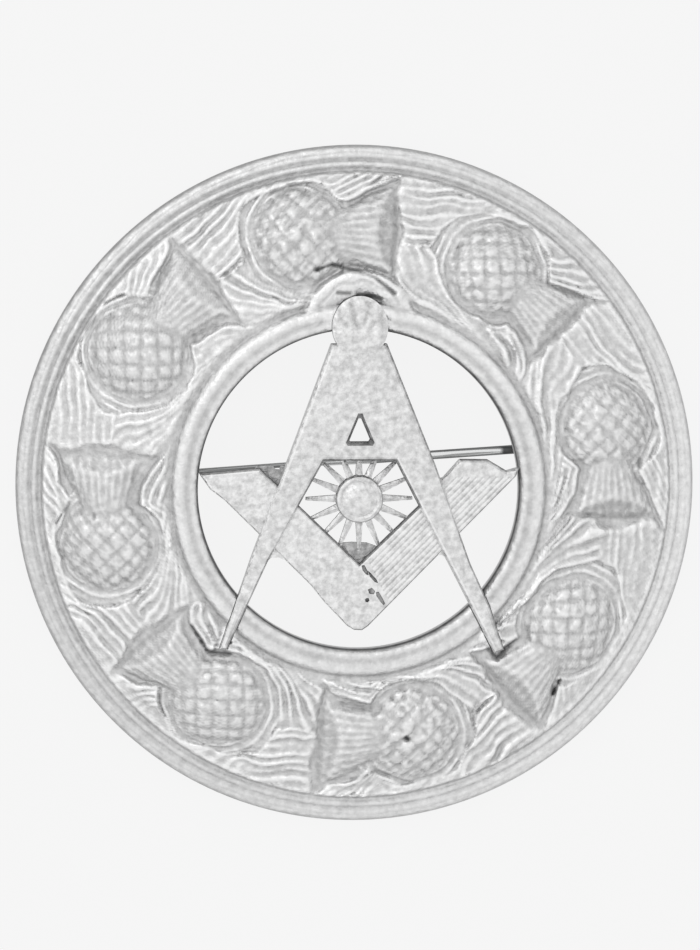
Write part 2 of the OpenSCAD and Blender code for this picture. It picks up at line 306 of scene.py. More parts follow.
# Stretches of the needle painted dark as the shadow of the ring and the emblem: near end, far end, how dark
NEEDLE_SHADOW = ((5.0, 7.4, 0.9), (30.0, 51.0, 0.6))
# Eye in section: radius, height across the hinge
EYE_SECTION = (
    (0.54, -0.45), (0.62, -0.57), (0.8, -0.6), (0.93, -0.5), (0.98, -0.3), (0.98, 0.3), (0.93, 0.5),
    (0.8, 0.6), (0.62, 0.57), (0.54, 0.45), (0.54, -0.45),
)
# Rivet in section: radius, height across the hinge
RIVET_SECTION = (
    (0, -1.87), (0.3, -1.85), (0.55, -1.77), (0.74, -1.62), (0.8, -1.48), (0.5, -1.45),
    (0.5, 1.45), (0.8, 1.48), (0.74, 1.62), (0.55, 1.77), (0.3, 1.85), (0, 1.87),
)

# Camera: how far its line of sight leans from straight above, and towards where in x and y, its lens,
# its distance from the point that it looks at, and that point
LEAN = 6.41
LEAN_TO = (-0.54, 0.842)
LENS = 100.0
DISTANCE = 294.8
AIM = (-0.765, 1.333, 1.9)


def linear(text):
    """An sRGB hex colour as the linear colour that the shaders take."""
    parts = [int(text[i:i + 2], 16) / 255 for i in (1, 3, 5)]
    return [c / 12.92 if c <= 0.04045 else ((c + 0.055) / 1.055) ** 2.4 for c in parts] + [1.0]


def node(tree, kind, links=None, **settings):
    """Adds a node. links gives each input a value, or another node's output to read."""
    made = tree.nodes.new(kind)
    for name, value in settings.items():
        setattr(made, name, value)
    for key, value in (links or {}).items():
        if isinstance(value, bpy.types.NodeSocket):
            tree.links.new(value, made.inputs[key])
        else:
            made.inputs[key].default_value = value
    return made


def into_scene(name, mesh):
    """A new object at the origin that shows a mesh."""
    made = bpy.data.objects.new(name, mesh)
    bpy.context.scene.collection.objects.link(made)
    return made


def mesh_object(name, points, faces):
    """A closed object with these points, in millimetres, and its faces turned outwards."""
    mesh = bpy.data.meshes.new(name)
    mesh.from_pydata((np.asarray(points, float) * MM).tolist(), [], faces)
    made = into_scene(name, mesh)
    face_outwards(made)
    return made


def settle(obj):
    """Makes what the modifiers give the object's own mesh, and removes them."""
    graph = bpy.context.evaluated_depsgraph_get()
    mesh = bpy.data.meshes.new_from_object(obj.evaluated_get(graph))
    obj.modifiers.clear()
    obj.data = mesh


def combine(obj, other, operation):
    """Unites obj with another closed object, or cuts it away. The other one is used up."""
    step = obj.modifiers.new("combine", "BOOLEAN")
    step.operation = operation
    step.solver = "EXACT"
    step.object = other
    settle(obj)
    bpy.data.objects.remove(other)
    return obj


def unite(name, parts):
    """One solid from several that overlap."""
    whole = parts[0]
    for part in parts[1:]:
        combine(whole, part, "UNION")
    whole.name = name
    return whole


def face_outwards(obj):
    """Welds doubled points and turns every face of a closed mesh outwards."""
    bm = bmesh.new()
    bm.from_mesh(obj.data)
    bmesh.ops.remove_doubles(bm, verts=bm.verts, dist=1e-7)
    bmesh.ops.recalc_face_normals(bm, faces=bm.faces)
    bm.to_mesh(obj.data)
    bm.free()


def place(obj, matrix):
    """Moves the mesh itself, so that the object stays at the origin."""
    obj.data.transform(matrix)
    obj.data.update()
    return obj


def soften(obj, width):
    """Rounds the crisp edges of a finished solid a little."""
    step = obj.modifiers.new("soften", "BEVEL")
    step.width = width * MM
    step.segments = 2
    step.limit_method = "ANGLE"
    step.angle_limit = math.radians(40)
    settle(obj)


def finish(obj, body, replaced, material, sharp):
    """Gives a finished piece its material and smooth shading, hangs it on its body and hides the CAD node
    that it takes the place of.
    """
    obj.data.materials.clear()
    obj.data.materials.append(material)
    obj.data.shade_smooth()
    obj.data.set_sharp_from_angle(angle=math.radians(sharp))
    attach(obj, body)
    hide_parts(replaced)


def vectors(mesh, name):
    """The points, or the normals of points or faces, or the faces' middles, of a mesh as an array."""
    source = mesh.polygons if name.startswith("face") else mesh.vertices
    flat_list = np.empty(len(source) * 3, np.float32)
    source.foreach_get({"face_normal": "normal", "face_middle": "center"}.get(name, name), flat_list)
    return flat_list.reshape(-1, 3).astype(float)


def set_points(mesh, co):
    """Moves a mesh's points to these places in millimetres."""
    mesh.vertices.foreach_set("co", (co * MM).astype(np.float32).ravel())
    mesh.update()


def paint(mesh, name, values, domain="POINT"):
    """Stores a number on each point or face for the material to read."""
    layer = mesh.attributes.new(name, "FLOAT", domain)
    layer.data.foreach_set("value", np.asarray(values, np.float32))


def ramp(x, low, high):
    """0 up to low, 1 from high on, and a smooth step between them."""
    t = np.clip((x - low) / (high - low), 0, 1)
    return t * t * (3 - 2 * t)


def curve(table, at, column=1):
    """Smooth curve through a table's first column and another one, read at each value of at."""
    rows = np.array(table, float)
    x, y = rows[:, 0], rows[:, column]
    slope = np.gradient(y, x)
    i = np.clip(np.searchsorted(x, at) - 1, 0, len(x) - 2)
    h = x[i + 1] - x[i]
    t = np.clip((at - x[i]) / h, 0, 1)
    start = (1 + 2 * t) * (1 - t) ** 2 * y[i] + t * (1 - t) ** 2 * h * slope[i]
    return start + t ** 2 * (3 - 2 * t) * y[i + 1] + t ** 2 * (t - 1) * h * slope[i + 1]


def flat(turn, radius):
    """Clockwise angle and radius as x and y."""
    a = np.radians(turn)
    return radius * np.sin(a), radius * np.cos(a)


def polar(co):
    """Angle clockwise from the first tuft's end, and radius, of each point."""
    return np.degrees(np.arctan2(co[:, 0], co[:, 1])) - FIRST_TUFT, np.hypot(co[:, 0], co[:, 1])


def lumps(u, v, seed):
    """Smooth unevenness between -1 and 1, with about one lump for each step of u and v."""
    size = 64
    grid = np.random.default_rng(seed).uniform(-1, 1, (size, size))
    i, j = np.floor(u).astype(int), np.floor(v).astype(int)
    a, b = ramp(u - i, 0, 1), ramp(v - j, 0, 1)
    near = grid[i % size, j % size] * (1 - b) + grid[i % size, (j + 1) % size] * b
    far = grid[(i + 1) % size, j % size] * (1 - b) + grid[(i + 1) % size, (j + 1) % size] * b
    return near * (1 - a) + far * a


def lumps_of(size, x, y, seed):
    """The same unevenness with lumps of about this size in millimetres."""
    return lumps(x / size + 100, y / size + 100, seed)


def streaks(along, across, unit):
    """Strength of a leaf's veins, and the height of the streaks between them, both in mm along and across."""
    shift = 17.3 * unit
    strength = 0.8 + 0.8 * lumps(along / 5.5 + shift, across / 1.6 + shift, 12)
    return strength, STREAK_H * lumps(along / STREAK_L + shift, across / STREAK_W + shift, 11)


def leaf_line(table, start, end, turn=0.0, lift=0.0, steps=36):
    """Points along a leaf's edge or vein, turned and moved outwards."""
    s = np.linspace(start, end, steps)
    return np.array(flat(s + turn, curve(table, s) + lift)).T


def distance_to(line, x, y):
    """Distance of each point from a line of straight pieces."""
    near = np.full(np.shape(x), np.inf)
    for (ax, ay), (bx, by) in zip(line[:-1], line[1:]):
        ux, uy = bx - ax, by - ay
        t = np.clip(((x - ax) * ux + (y - ay) * uy) / (ux * ux + uy * uy), 0, 1)
        near = np.minimum(near, np.hypot(x - ax - t * ux, y - ay - t * uy))
    return near


def ridge(lines, x, y, width):
    """Soft ridge of height 1 along each line."""
    near = np.min([distance_to(line, x, y) for line in lines], axis=0)
    return np.exp(-(near / width) ** 2)


def past_edge(table, s, r):
    """Distance outwards past a leaf's edge, taken square to the edge."""
    gap = 0.5
    rise = (curve(table, s + gap) - curve(table, s - gap)) / (2 * np.radians(gap) * r)
    return (r - curve(table, s)) / np.sqrt(1 + rise ** 2)


def ring_floor(r):
    """Height of the plain floor between the leaves: a slope with a slight crown."""
    t = np.clip((RELIEF_OUT - r) / (RELIEF_OUT - RELIEF_IN), 0, 1)
    return FLOOR_OUT + (FLOOR_IN - FLOOR_OUT) * t + FLOOR_CROWN * np.sin(math.pi * t)


def past_tuft(x, y):
    """0 up to the foot of the tuft's open end, 1 a little past it."""
    foot = curve(TUFT_END, y, 2)
    return ramp(x, foot - 0.1, foot + 0.9)


def outer_leaf(s, r, unit):
    """Where the outer leaf lies, and how high it stands over the floor."""
    vein_gap, hem_gap, slant_pitch = 1.08, 0.9, 2.3
    slant_turn, slant_r = np.array([0, 11]), np.array([31.4, 35.4])
    x, y = flat(s, r)
    inside = ramp(past_edge(OUTER_EDGE, s, r), -EDGE_SOFT, EDGE_SOFT)
    inside = inside * past_tuft(x, y) * (s > 0) * (1 - ramp(s, 46, 47))
    # Veins run out from the tuft, a few follow the leaf's edge, and short ones slant to the rim
    fan = [leaf_line(OUTER_VEIN, 0, 30, lift=vein_gap * n) for n in range(6)]
    fan += [leaf_line(OUTER_EDGE, 17, 33, lift=0.3 + hem_gap * n) for n in range(2)]
    slant = [np.array(flat(start + slant_turn, slant_r)).T for start in np.arange(27, 46, slant_pitch)]
    veins = ridge(fan, x, y, VEIN_W) * (1 - ramp(s, 30, 33))
    veins = np.maximum(veins, ridge(slant, x, y, 0.3) * ramp(s, 30, 32))
    hem = ridge([leaf_line(OUTER_EDGE, 0, 46.5, lift=0.25, steps=90)], x, y, 0.25)
    strength, streak = streaks(np.radians(s) * MIDDLE_R, r - curve(OUTER_VEIN, s), unit)
    bold = np.array(OUTER_BOLD)[unit]
    return inside, LEAF_H + bold * (VEIN_H * strength * np.maximum(veins, hem) + streak)


def inner_leaf(s, r, unit):
    """Where the inner leaf lies, and how high it stands over the floor."""
    vein_pitch, hem_gap = 3.1, 0.95
    x, y = flat(s, r)
    inside = ramp(-past_edge(INNER_EDGE, s, r), -EDGE_SOFT, EDGE_SOFT)
    inside = inside * past_tuft(x, y) * (s > 0) * (1 - ramp(s, 48, 51))
    # Veins sweep inwards from the tuft, and hems follow the leaf's edge round to the next one
    fan = [leaf_line(INNER_VEIN, 10.6, 36, turn=-0.3 - vein_pitch * n) for n in range(6)]
    hem = [leaf_line(INNER_EDGE, 20, 50, lift=-0.3 - hem_gap * n, steps=60) for n in range(4)]
    veins = np.maximum(ridge(fan, x, y, VEIN_W), ridge(hem, x, y, VEIN_W) * ramp(s, 20, 26))
    vein_turn, vein_r = np.array(INNER_VEIN).T
    across = np.radians(s - np.interp(r, vein_r[::-1], vein_turn[::-1])) * MIDDLE_R * 0.7
    strength, streak = streaks(r * 1.3, across, unit + 0.4)
    return inside, LEAF_H + np.array(INNER_BOLD)[unit] * (VEIN_H * strength * veins + streak)


def bulb(x, y, unit):
    """Distance from the bulb's middle as a share of its radius, and the scaly dome's height."""
    dx, dy = x - BULB_AT[0], y - BULB_AT[1]
    d = np.minimum(np.hypot(dx, dy) / BULB_R, 1)
    # The scales crowd towards the bulb's edge, as on a ball seen from above
    seen = 0.93 * d
    spread = np.arcsin(seen) / np.maximum(seen, 1e-3)
    a = math.radians(SCALE_TURN)
    u = ((dx * math.cos(a) + dy * math.sin(a)) * spread - SCALE_AT[0]) / SCALE_PITCH
    v = ((dx * math.sin(a) - dy * math.cos(a)) * spread - SCALE_AT[1]) / SCALE_PITCH
    scale = np.abs(np.cos(math.pi * u) * np.cos(math.pi * v)) ** 0.4
    # Each scale has its own size and tilt
    grid = np.random.default_rng(5).random((3, UNITS, 16, 16))
    column, row = (np.clip(np.round(c) + 8, 0, 15).astype(int) for c in (u, v))
    size, lean_u, lean_v = grid[:, unit, column, row]
    bumps = (0.75 + 0.5 * size) * SCALE_H * (scale - 1)
    bumps += SCALE_TILT * scale * ((lean_u - 0.5) * (u - np.round(u)) + (lean_v - 0.5) * (v - np.round(v)))
    rough = np.array(UNEVEN)[unit, 5]
    bumps += rough * lumps(dx / ROUGH_SIZE + 20 + 7.3 * unit, dy / ROUGH_SIZE + 20, 51)
    return d, BULB_H * (1 - d ** 2.1) ** 0.9 + bumps * (1 - ramp(d, 0.94, 1))


def tuft(x, y):
    """Height of the fluted tuft. Its open end falls to the floor over a small lip."""
    low, high = curve(TUFT, x), curve(TUFT, x, 2)
    w = (2 * y - low - high) / (high - low)
    lip, foot = curve(TUFT_END, y), curve(TUFT_END, y, 2)
    along = np.clip((x - TUFT_FROM) / (lip - TUFT_FROM), 0, 1)
    body = TUFT_H * (1 - np.minimum(np.abs(w), 1) ** 2.3) ** 0.9
    turn = np.degrees(np.arctan2(y - FLUTES_AT[1], x - FLUTES_AT[0]))
    body = body + FLUTE_H * np.cos(2 * math.pi * turn / FLUTE_PITCH) * ramp(along, 0.1, 0.5)
    fall = (x - lip) / np.maximum(foot - lip, 0.2)
    body = body * (1 - 0.5 * ramp(fall, -0.2, 0.5) - 0.45 * ramp(fall, 0.4, 1))
    inside = (np.abs(w) < 1) & (x > TUFT_FROM) & (fall < 1)
    return np.where(inside, body, -ABOVE)


def uneven_leaves(turn, r):
    """Slow shifts of angle and radius that make the leaves' veins wander as if cut by hand."""
    x, y = flat(turn, r)
    ds, dr = 0, 0
    for n, (size, around, outwards) in enumerate(WANDER):
        ds = ds + around * lumps_of(size, x, y, 41 + n)
        dr = dr + outwards * lumps_of(size, x, y, 43 + n)
    return ds, dr


def uneven_thistles(turn, r):
    """Where in the even pattern each point of the hand-cut one is found: angle and radius."""
    bulb_along, bulb_out, bulb_size, end_along, end_size, _ = np.array(UNEVEN).T
    at_end = PITCH * np.arange(UNITS)
    stops = np.concatenate([at_end + BULB_TURN, at_end])
    order = np.argsort(stops)
    pairs = ((bulb_along, end_along), (bulb_out, np.zeros(UNITS)), (bulb_size, end_size))
    along, out, size = (np.interp(turn, stops[order], np.concatenate(pair)[order], period=360)
                        for pair in pairs)
    fade = ramp(r, RELIEF_IN, RELIEF_IN + 2) * (1 - ramp(r, RELIEF_OUT - 2, RELIEF_OUT))
    s = turn - np.degrees(along / MIDDLE_R) * fade
    moved = MIDDLE_R + (r - MIDDLE_R - out) / size
    return s, r + (moved - r) * fade


def marks(turn, r):
    """How strongly each point lies in one of the cuts, which are sunk and painted dark as shade, from 0 to
    about 1.
    """
    found = np.zeros(np.shape(turn))
    for unit, width, strength, line in MARKS:
        x, y = flat((turn - PITCH * unit + 180) % 360 - 180, r)
        found = np.maximum(found, strength * np.exp(-(distance_to(line, x, y) / width) ** 2))
    return found


def tuft_ends(turn, r):
    """How much painted shade the sunk open end of each tuft gets, fading to 0 at its lip and foot."""
    unit = np.floor((turn + PITCH / 2) / PITCH).astype(int) % UNITS
    whole, r = uneven_thistles(turn, r)
    x, y = flat((whole + PITCH / 2) % PITCH - PITCH / 2, r)
    lip, foot = curve(TUFT_END, y), curve(TUFT_END, y, 2)
    across = ramp(y, 23.6, 24.2) * (1 - ramp(y, 33.0, 33.7))
    along = ramp(x, lip, lip + 0.35) * (1 - ramp(x, foot - 0.1, foot + 0.2))
    return np.array(END_SHADE)[unit] * along * across


def on_thistle(turn, r):
    """1 on the bulbs and tufts, fading to 0 at their edges."""
    whole, r = uneven_thistles(turn, r)
    found = np.zeros(np.shape(turn))
    for ahead in (0, 1):
        x, y = flat(whole % PITCH - PITCH * ahead, r)
        share = np.hypot(x - BULB_AT[0], y - BULB_AT[1]) / BULB_R
        low, high, foot = curve(TUFT, x), curve(TUFT, x, 2), curve(TUFT_END, y, 2)
        across = ramp(y, low, low + 0.3) * (1 - ramp(y, high - 0.3, high))
        body = across * (x > TUFT_FROM) * (1 - ramp(x, foot - 0.2, foot))
        found = np.maximum(found, np.maximum(body, 1 - ramp(share, 0.92, 1)))
    return found


def wrap_lines(x, y):
    """Height of the ground round a bulb, and of the lines on it that wrap round the bulb."""
    past = np.hypot(x - BULB_AT[0], y - BULB_AT[1]) - BULB_R
    phase = past - 0.5 - 0.2 * lumps(x / 2, y / 2, 45)
    lines = 0.5 + 0.5 * np.cos(2 * math.pi * phase / WRAP_PITCH)
    bold = 0.8 + 0.5 * lumps(x / 1.8, y / 1.8, 46)
    wrap = (WRAP[0] + WRAP[1] * lines * bold) * (1 - ramp(past, *WRAP_REACH))
    beside_tuft = ramp(x, -6, -4.6) * (y < 27)
    return wrap * (1 - 0.8 * beside_tuft)


def relief(turn, r):
    """Height of the ring's face at an angle clockwise from the first tuft's end and a radius."""
    floor_z = ring_floor(r)
    z = floor_z - LEAF_ROOT
    whole, r = uneven_thistles(turn, r)
    s = whole % PITCH
    owner = np.floor(whole / PITCH).astype(int)
    ds, dr = uneven_leaves(turn, r)
    for back in (0, 1):
        for leaf in (outer_leaf, inner_leaf):
            inside, lift = leaf(s + ds + PITCH * back, r + dr, (owner - back) % UNITS)
            z = np.maximum(z, floor_z - LEAF_ROOT + inside * (lift + LEAF_ROOT))
    end_foot = [(foot, y) for y, _, foot in TUFT_END[:-1]]
    for ahead in (0, 1):
        x, y = flat(s - PITCH * ahead, r)
        z = np.maximum(z, floor_z - LEAF_ROOT + wrap_lines(x, y))
        for deep, line, width in zip(NOTCH_DEEP, (NOTCH_OUT, NOTCH_IN, end_foot), (0.35, 0.38, 0.3)):
            z = z - deep * ridge([line], x, y, width)
        share, dome = bulb(x, y, (owner + ahead) % UNITS)
        z = np.where(share < 1, np.maximum(z, floor_z - THISTLE_ROOT + dome), z)
        z = np.maximum(z, floor_z - THISTLE_ROOT + tuft(x, y))
    x, y = flat(turn, r)
    for n, (height, size) in enumerate(LUMPS):
        z = z + height * lumps_of(size, x, y, 21 + n)
    return z


def stitch(a, b):
    """Faces between two rows of points, of which one may have several points to the other's one."""
    if len(a) < len(b):
        return stitch(b, a)
    step = (len(a) - 1) // (len(b) - 1)
    return [[*a[i * step:(i + 1) * step + 1], b[i + 1], b[i]] for i in range(len(b) - 1)]


def ring_surface():
    """The whole ring: fine rows of relief, and coarser rows for rim, back and collar."""
    turns = np.linspace(0, 360, UNITS * FINE_COLUMNS + 1)
    radii = np.linspace(RELIEF_IN, RELIEF_OUT, FINE_ROWS + 1)
    s, r = np.meshgrid(turns, radii)
    fade = ramp(r, RELIEF_IN, RELIEF_IN + 0.9) * (1 - ramp(r, RELIEF_OUT - 0.5, RELIEF_OUT))
    edge = np.where(r > MIDDLE_R, EDGE_OUT, EDGE_IN)
    z = edge + (relief(s, r) - edge) * fade
    rows = [(turns, radius, heights) for radius, heights in zip(radii, z)]
    coarse = turns[::COARSE_STEP]
    for radius, height in RIM_SECTION + COLLAR_SECTION:
        rows.append((coarse, radius, np.full(len(coarse), height)))
    points, index, faces = [], [], []
    for turn, radius, height in rows:
        x, y = flat(turn + FIRST_TUFT, radius)
        index.append(range(len(points), len(points) + len(turn)))
        points.extend(zip(x, y, height))
    for a, b in zip(index, index[1:] + index[:1]):
        faces.extend(stitch(a, b))
    return mesh_object("cast_thistle_ring", points, faces)


def repeat_round(obj, count, centre):
    """Repeats a mesh around an upright line by geometry nodes, and welds the copies into one mesh."""
    tree = bpy.data.node_groups.new("repeat_round", "GeometryNodeTree")
    tree.interface.new_socket("Geometry", in_out="OUTPUT", socket_type="NodeSocketGeometry")
    tree.interface.new_socket("Unit", in_out="INPUT", socket_type="NodeSocketGeometry")
    # Only stands in until the finished piece gets its own material
    blank = bpy.data.materials.new("blank")
    wanted = (("Count", "Int", count), ("Centre", "Vector", centre), ("Weld distance", "Float", 1e-7),
              ("Material", "Material", blank))
    sockets = [tree.interface.new_socket(name, in_out="INPUT", socket_type="NodeSocket" + kind)
               for name, kind, value in wanted]
    given = node(tree, "NodeGroupInput").outputs
    spots = node(tree, "GeometryNodePoints", {"Count": given["Count"], "Position": given["Centre"]})
    share = node(tree, "ShaderNodeMath", {0: -2 * math.pi, 1: given["Count"]}, operation="DIVIDE")
    index = node(tree, "GeometryNodeInputIndex")
    turn = node(tree, "ShaderNodeMath", {0: index.outputs[0], 1: share.outputs[0]}, operation="MULTIPLY")
    euler = node(tree, "ShaderNodeCombineXYZ", {"Z": turn.outputs[0]})
    rotation = node(tree, "FunctionNodeEulerToRotation", {0: euler.outputs[0]})
    placed = node(tree, "GeometryNodeInstanceOnPoints",
                  {"Points": spots.outputs[0], "Instance": given["Unit"], "Rotation": rotation.outputs[0]})
    real = node(tree, "GeometryNodeRealizeInstances", {0: placed.outputs[0]})
    weld = node(tree, "GeometryNodeMergeByDistance",
                {"Geometry": real.outputs[0], "Distance": given["Weld distance"]})
    coated = node(tree, "GeometryNodeSetMaterial",
                  {"Geometry": weld.outputs[0], "Material": given["Material"]})
    node(tree, "NodeGroupOutput", {0: coated.outputs[0]})
    step = obj.modifiers.new("repeat", "NODES")
    step.node_group = tree
    for socket, (name, kind, value) in zip(sockets, wanted):
        step[socket.identifier] = value
    settle(obj)
    face_outwards(obj)
    return obj


def prism(name, outline, low, high, bevel=0.0, flare=1.0):
    """An upright plate with this outline, its upper edges rounded by a bevel or its top made wider."""
    bm = bmesh.new()
    back = [bm.verts.new((x * MM, y * MM, low * MM)) for x, y in outline]
    raised = bmesh.ops.extrude_face_region(bm, geom=[bm.faces.new(back)])
    top = {v for v in raised["geom"] if isinstance(v, bmesh.types.BMVert)}
    middle = sum((v.co for v in back), Vector()) / len(back)
    bmesh.ops.scale(bm, verts=list(top), vec=(flare, flare, 1), space=Matrix.Translation(-middle))
    bmesh.ops.translate(bm, verts=list(top), vec=(0, 0, (high - low) * MM))
    if bevel:
        edges = [e for e in bm.edges if top.issuperset(e.verts)]
        bmesh.ops.bevel(bm, geom=edges, offset=bevel * MM, segments=3, affect="EDGES", profile=0.6)
    mesh = bpy.data.meshes.new(name)
    bm.to_mesh(mesh)
    bm.free()
    made = into_scene(name, mesh)
    face_outwards(made)
    return made


def turned(name, section, sides=48):
    """A solid of revolution about an upright line, from rows of radius and height."""
    points, faces, rows = [], [], []
    for radius, height in section:
        count = sides if radius else 1
        rows.append([len(points) + i % count for i in range(sides)])
        turns = np.arange(count) * 2 * math.pi / sides
        points.extend((radius * math.cos(a), radius * math.sin(a), height) for a in turns)
    for a, b in zip(rows, rows[1:]):
        corners = [[a[i - 1], a[i], b[i], b[i - 1]] for i in range(sides)]
        faces.extend([list(dict.fromkeys(face)) for face in corners])
    return mesh_object(name, points, faces)


def circle(at, radius, sides=48):
    """Outline of a circle."""
    turns = np.arange(sides) * 2 * math.pi / sides
    return [(at[0] + radius * math.cos(a), at[1] + radius * math.sin(a)) for a in turns]


def rectangle(low, high, width):
    """Outline of a rectangle along the x axis."""
    return [(low, -width / 2), (high, -width / 2), (high, width / 2), (low, width / 2)]


def stem_line():
    """Turn and place of the findings: hinge at the origin, x away from the catch, z up."""
    hinge = frame["joints"][0]
    axis = Vector(hinge["axis"]).normalized()
    up = Vector((0, 0, 1))
    turn = Matrix((up.cross(axis), -axis, up)).transposed().to_4x4()
    return Matrix.Translation((hinge["pos_m"][0], hinge["pos_m"][1], 0)) @ turn


def on_end(z=0.0, y=0.0):
    """Stands a plate drawn flat on its edge, facing along y."""
    return Matrix.Translation((0, y * MM, z * MM)) @ Matrix.Rotation(math.pi / 2, 4, "X")


def hinge_z():
    """Height of the hinge over the resting plane."""
    return frame["joints"][0]["pos_m"][2] / MM


def finish_face(mesh):
    """Raises the collar into a crescent around the head's seat, and sinks the marks, which are later painted
    dark as shade.
    """
    co = vectors(mesh, "co") / MM
    turn, r = polar(co)
    d = np.hypot(co[:, 0] - HEAD_AT[0], co[:, 1] - HEAD_AT[1])
    face = (co[:, 2] > 4.6) * ramp(r, 20.1, 20.7)
    middle, half, foot, rise = CRESCENT
    crescent = foot + rise * np.sqrt(np.clip(1 - ((d - middle) / half) ** 2, 0, 1))
    # A wavy line along its crest, and a ditch outside it
    crescent -= 0.14 * np.exp(-((d - 4.95 - 0.15 * np.sin(2.2 * co[:, 0])) / 0.16) ** 2)
    co[:, 2] += (crescent - co[:, 2]) * (1 - ramp(d, 5.9, 6.3)) * face
    co[:, 2] -= 0.22 * np.exp(-((d - 6.4) / 0.3) ** 2) * face
    co[:, 2] -= MARK_DEEP * marks(turn, r) * (co[:, 2] > 2.6)
    set_points(mesh, co)


def blurred(grid, weight, sigma):
    """Mean height around each cell of a grid, ignoring empty cells."""
    k = np.fft.fftfreq(grid.shape[0])
    kernel = np.exp(-2 * (math.pi * sigma) ** 2 * (k[:, None] ** 2 + k[None, :] ** 2))
    total = np.fft.ifft2(np.fft.fft2(grid * weight) * kernel).real
    return total / np.maximum(np.fft.ifft2(np.fft.fft2(weight) * kernel).real, 1e-4)


def hollowness(mesh, reaches):
    """How far each point of the ring's face lies below the mean around it, for each reach."""
    cell, half = 0.2, 40.0
    co = vectors(mesh, "co") / MM
    i, j = ((co[:, k] + half) / cell for k in (0, 1))
    i, j = i.astype(int), j.astype(int)
    face = vectors(mesh, "normal")[:, 2] > 0.05
    size = int(2 * half / cell)
    total, count = np.zeros((size, size)), np.zeros((size, size))
    np.add.at(total, (i[face], j[face]), co[face, 2])
    np.add.at(count, (i[face], j[face]), 1)
    filled = (count > 0).astype(float)
    means = [blurred(total / np.maximum(count, 1), filled, reach / cell) for reach in reaches]
    return face, [mean[i, j] - co[:, 2] for mean in means]


def grown_compasses(gap):
    """Outline of the head's block and both legs, widened by a gap."""
    return [(x + gap * out_x, y + gap * out_y) for x, y, out_x, out_y in COMPASSES]


def head_outline(gap):
    """Outline of the head, a little taller than wide, widened by a gap."""
    return [(HEAD_AT[0] + x * HEAD_STRETCH[0], HEAD_AT[1] + y * HEAD_STRETCH[1])
            for x, y in circle((0, 0), HEAD_R + gap, 64)]


def cast_ring():
    """The whole cast ring, with the emblem's seats cut in and the pads for the findings."""
    ring = ring_surface()
    finish_face(ring.data)
    line = stem_line()
    cutters = [prism("seat", grown_compasses(SEAT_GAP), SEAT_Z, ABOVE),
               prism("head_seat", head_outline(HEAD_GAP), SEAT_Z, ABOVE - 0.1)]
    cutters += [prism("peg_hole", circle(at, PEG_R + PEG_GAP, 32), 1.0, SEAT_Z + 0.5) for at in PEGS]
    pads = []
    for x in PAD_AT:
        outline = rectangle(x - PAD / 2, x + PAD / 2, PAD)
        cutters.append(place(prism("clear", outline, 0.3, PAD_Z), line))
        pads.append(place(prism("pad", outline, PAD_Z - 0.01, PAD_TOP), line))
    combine(ring, unite("cutters", cutters), "DIFFERENCE")
    combine(ring, unite("pads", pads), "UNION")
    face_outwards(ring)
    paint_ring(ring.data)
    return ring


def paint_ring(mesh):
    """Painted highlight on high points and patina with painted shade in the hollows, bright thistles, painted
    shade on the inner wall, in the cuts and the tufts' ends, and painted light and shade round the rim and
    collar.
    """
    face, (near, wide) = hollowness(mesh, (0.4, 1.5))
    co = vectors(mesh, "co") / MM
    turn, r = polar(co)
    thistle = on_thistle(turn, r) * (r > RELIEF_IN) * (r < RELIEF_OUT)
    # Crests are painted bright, as rubbed wear and as highlight, and hollows dark, as patina and as shade,
    # near by and over a wider reach; the thistles are a little lighter towards the lower right
    crest_bright, hollow_dark, wide_dark = 0.25, 0.11, 0.04
    cut = crest_bright * np.clip(near / 0.11, -1, 0) + hollow_dark * np.clip(near / 0.14, 0, 1)
    dull = RING_DULL + (THISTLE_DULL - 0.025 * (co[:, 0] - co[:, 1]) / 56) * thistle
    tarnish_and_shading = dull + cut * (1 - 0.15 * thistle) + wide_dark * np.clip(wide / 1.6, 0, 1)
    # Painted shade in the sunk cuts and in the tufts' open ends
    tarnish_and_shading += MARK_SHADE * marks(turn, r) + tuft_ends(turn, r)
    # The rim and the collar get painted light and shade that differ from side to side: the rim's lines are
    # stronger towards the upper left and the rim is darker to the left and at the top, the collar is duller
    # and painted light towards the top, and the opening's edge is painted dark as shade except towards the
    # lower right
    shade_side = (co[:, 0] * SHADE_TO[0] + co[:, 1] * SHADE_TO[1]) / np.maximum(r, 1)
    contrast = 0.4 + 0.7 * ramp(shade_side, 0.3, 0.95)
    rim_side_light = -0.07 * co[:, 0] + 0.04 * np.abs(co[:, 1]) + 0.03 * co[:, 1]
    rim = RING_DULL + contrast * (tarnish_and_shading - RING_DULL) + rim_side_light / RELIEF_OUT
    collar = tarnish_and_shading + 0.09 - 0.05 * ramp(co[:, 1], 8, 16)
    tarnish_and_shading = np.where(r > RELIEF_OUT, rim, np.where(r < RELIEF_IN, collar, tarnish_and_shading))
    edge = (1 - ramp(r, 17.9, 18.12)) * ramp(shade_side, -0.7, 0.1)
    tarnish_and_shading = np.where(face, np.maximum(tarnish_and_shading, 0.8 * edge), 0.4)
    # The inner wall is painted dark as shade above and pale below, where light comes in from the back
    wall = (r < 18.0) & (co[:, 2] < 6.1)
    wall_shade = np.where(co[:, 2] > 5.2, 0.9, 0.25)
    paint(mesh, "tarnish_and_shading", np.where(wall, wall_shade, tarnish_and_shading))
    paint(mesh, "polish", np.where(face, np.clip(-near / 0.3, 0, 1), 0))


def petals(x, y):
    """How strongly each point of the head, measured from its middle, lies in a cut between petals."""
    root, petal_pitch = -1.9, 24
    fan = np.degrees(np.arctan2(x, y - root))
    reach = np.hypot(x, y - root)
    upper = ramp(y, -0.45, 0.15) * (1 - ramp(np.hypot(x, y) / HEAD_R, 0.86, 0.98)) * ramp(reach, 1.5, 2.4)
    return upper * np.abs(np.sin(math.pi * fan / petal_pitch)) ** 4


